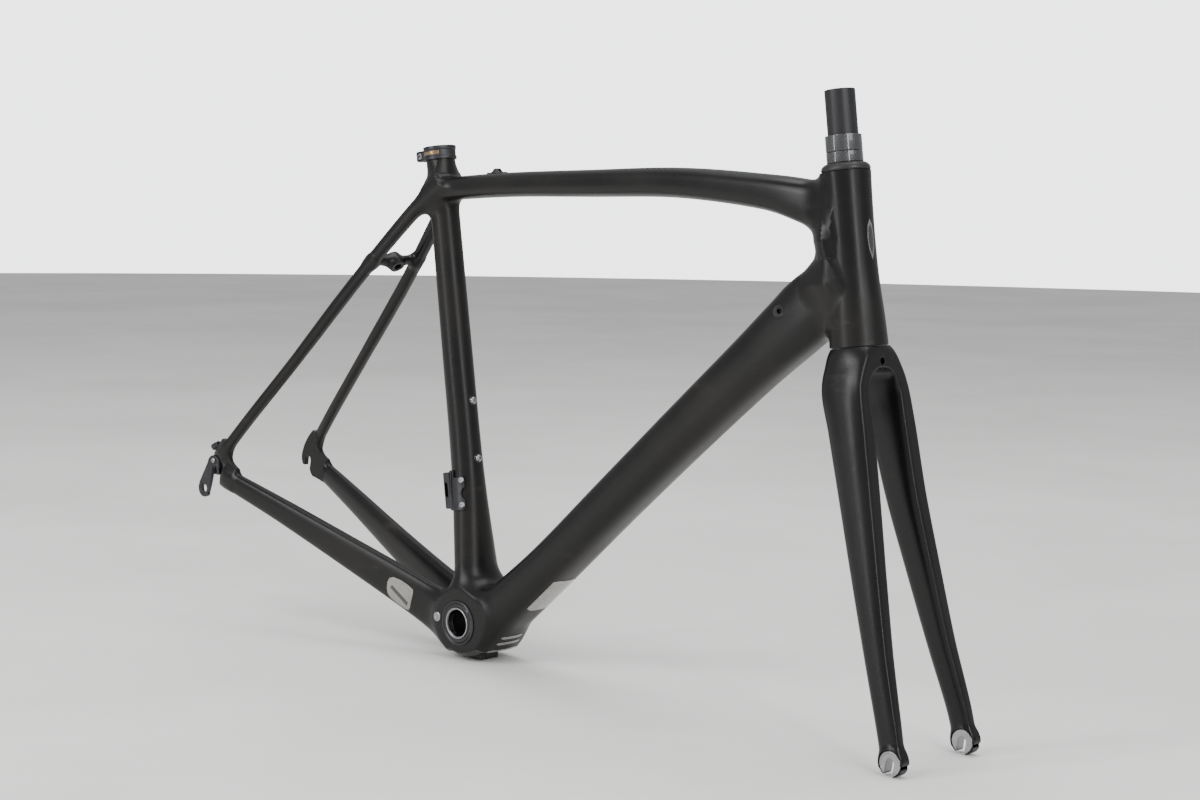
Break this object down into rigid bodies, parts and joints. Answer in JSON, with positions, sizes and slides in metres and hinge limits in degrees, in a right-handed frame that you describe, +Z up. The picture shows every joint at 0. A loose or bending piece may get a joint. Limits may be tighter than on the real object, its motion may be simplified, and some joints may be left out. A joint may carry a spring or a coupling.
{
  "type": "road bicycle frame with its fork",
  "caption": "Road bicycle frame in satin black carbon with its fork, headset, spacers and bottom bracket bearings fitted, ready for wheels, seatpost and cranks.",
  "frame": {"origin": "middle of the bounding box, on the floor that the fork tips and the cable guide stand on", "axes": "+X forward along the bicycle, +Y to the rider's left, +Z up, with the frame tipped nose-down as it stands on its fork tips"},
  "size_m": [1.0307, 0.1578, 0.6144],
  "materials": {
    "satin_carbon": "satin clear coat over carbon fibre, faintly brown on the tubes",
    "fork_carbon": "smooth lacquered carbon fibre",
    "woven_carbon": "glossy 2x2 twill weave",
    "black_alloy": "black anodised, bead blasted",
    "silver_alloy": "bare, machined",
    "bearing_steel": "ground steel",
    "bolt_steel": "zinc-plated steel",
    "black_plastic": "moulded, fine grain",
    "guard_film": "silver protective film with a brushed look"
  },
  "bodies": {
    "frame": {"head_tube": "satin_carbon", "bottom_bracket_shell": "satin_carbon", "seat_tube": "satin_carbon", "down_tube": "satin_carbon", "top_tube": "satin_carbon", "dropout_right": "satin_carbon", "dropout_left": "satin_carbon", "chainstay_right": "satin_carbon", "chainstay_left": "satin_carbon", "seatstay_right": "satin_carbon", "seatstay_left": "satin_carbon", "brake_bridge": "satin_carbon", "derailleur_hanger": "black_alloy", "hanger_bolt": "bolt_steel", "rear_cable_stop": "black_alloy", "seat_collar": "black_alloy", "seat_collar_bolt": "bolt_steel", "seat_collar_nut": "bolt_steel", "front_derailleur_bracket": "black_alloy", "front_derailleur_bolt_lower": "silver_alloy", "front_derailleur_bolt_upper": "silver_alloy", "bottle_bolt_down_tube_lower": "bolt_steel", "bottle_bolt_down_tube_upper": "bolt_steel", "bottle_bolt_seat_tube_upper": "bolt_steel", "bottle_bolt_seat_tube_lower": "bolt_steel", "cable_port_right": "black_plastic", "cable_port_left": "black_plastic", "top_tube_cable_stop": "black_plastic", "chainstay_guard": "guard_film", "port_plug": "silver_alloy", "bb_cable_guide": "black_plastic", "bb_guide_screw": "bolt_steel", "bb_cup_right": "black_alloy", "bb_cup_left": "black_alloy", "bb_right_outer_race": "bearing_steel", "bb_left_outer_race": "bearing_steel", "bb_sleeve": "black_plastic", "headset_lower_outer_race": "bearing_steel", "headset_upper_outer_race": "bearing_steel"},
    "fork": {"steerer_tube": "satin_carbon", "fork_crown": "fork_carbon", "fork_leg_right": "fork_carbon", "fork_leg_left": "fork_carbon", "fork_dropout_right": "silver_alloy", "fork_dropout_left": "silver_alloy", "crown_race": "black_alloy", "headset_lower_inner_race": "bearing_steel", "headset_upper_inner_race": "bearing_steel", "compression_ring": "black_alloy", "headset_top_cap": "black_plastic"},
    "headset_lower_balls": {"headset_lower_balls": "bearing_steel"},
    "headset_upper_balls": {"headset_upper_balls": "bearing_steel"},
    "bb_right_inner": {"bb_right_inner_race": "bearing_steel", "bb_dust_ring_right": "silver_alloy"},
    "bb_right_balls": {"bb_right_balls": "bearing_steel"},
    "bb_left_inner": {"bb_left_inner_race": "bearing_steel", "bb_dust_ring_left": "silver_alloy"},
    "bb_left_balls": {"bb_left_balls": "bearing_steel"},
    "spacer_lower": {"spacer_lower": "woven_carbon"},
    "spacer_upper": {"spacer_upper": "woven_carbon"}
  },
  "joints": [
    {"name": "steer", "type": "hinge", "parent": "frame", "child": "fork", "pos_m": [0.40936, 0, 0.3771], "axis": [-0.1321, 0, 0.9912], "continuous": true},
    {"name": "headset_lower_ball_roll", "type": "hinge", "parent": "frame", "child": "headset_lower_balls", "pos_m": [0.40936, 0, 0.3771], "axis": [-0.1321, 0, 0.9912], "continuous": true},
    {"name": "headset_upper_ball_roll", "type": "hinge", "parent": "frame", "child": "headset_upper_balls", "pos_m": [0.40936, 0, 0.3771], "axis": [-0.1321, 0, 0.9912], "continuous": true},
    {"name": "bb_right_spin", "type": "hinge", "parent": "frame", "child": "bb_right_inner", "pos_m": [-0.098, 0, 0.0425], "axis": [0, 1, 0], "continuous": true},
    {"name": "bb_right_ball_roll", "type": "hinge", "parent": "frame", "child": "bb_right_balls", "pos_m": [-0.098, 0, 0.0425], "axis": [0, 1, 0], "continuous": true},
    {"name": "bb_left_spin", "type": "hinge", "parent": "frame", "child": "bb_left_inner", "pos_m": [-0.098, 0, 0.0425], "axis": [0, 1, 0], "continuous": true},
    {"name": "bb_left_ball_roll", "type": "hinge", "parent": "frame", "child": "bb_left_balls", "pos_m": [-0.098, 0, 0.0425], "axis": [0, 1, 0], "continuous": true},
    {"name": "spacer_lower_lift", "type": "slide", "parent": "fork", "child": "spacer_lower", "axis": [-0.1321, 0, 0.9912], "range_m": [0, 0.02]},
    {"name": "spacer_upper_lift", "type": "slide", "parent": "spacer_lower", "child": "spacer_upper", "axis": [-0.1321, 0, 0.9912], "range_m": [0, 0.02]}
  ],
  "couplings": [
    {"joint": "headset_lower_ball_roll", "follows": "steer", "ratio": 0.46},
    {"joint": "headset_upper_ball_roll", "follows": "steer", "ratio": 0.456},
    {"joint": "bb_right_ball_roll", "follows": "bb_right_spin", "ratio": 0.456},
    {"joint": "bb_left_ball_roll", "follows": "bb_left_spin", "ratio": 0.456}
  ]
}
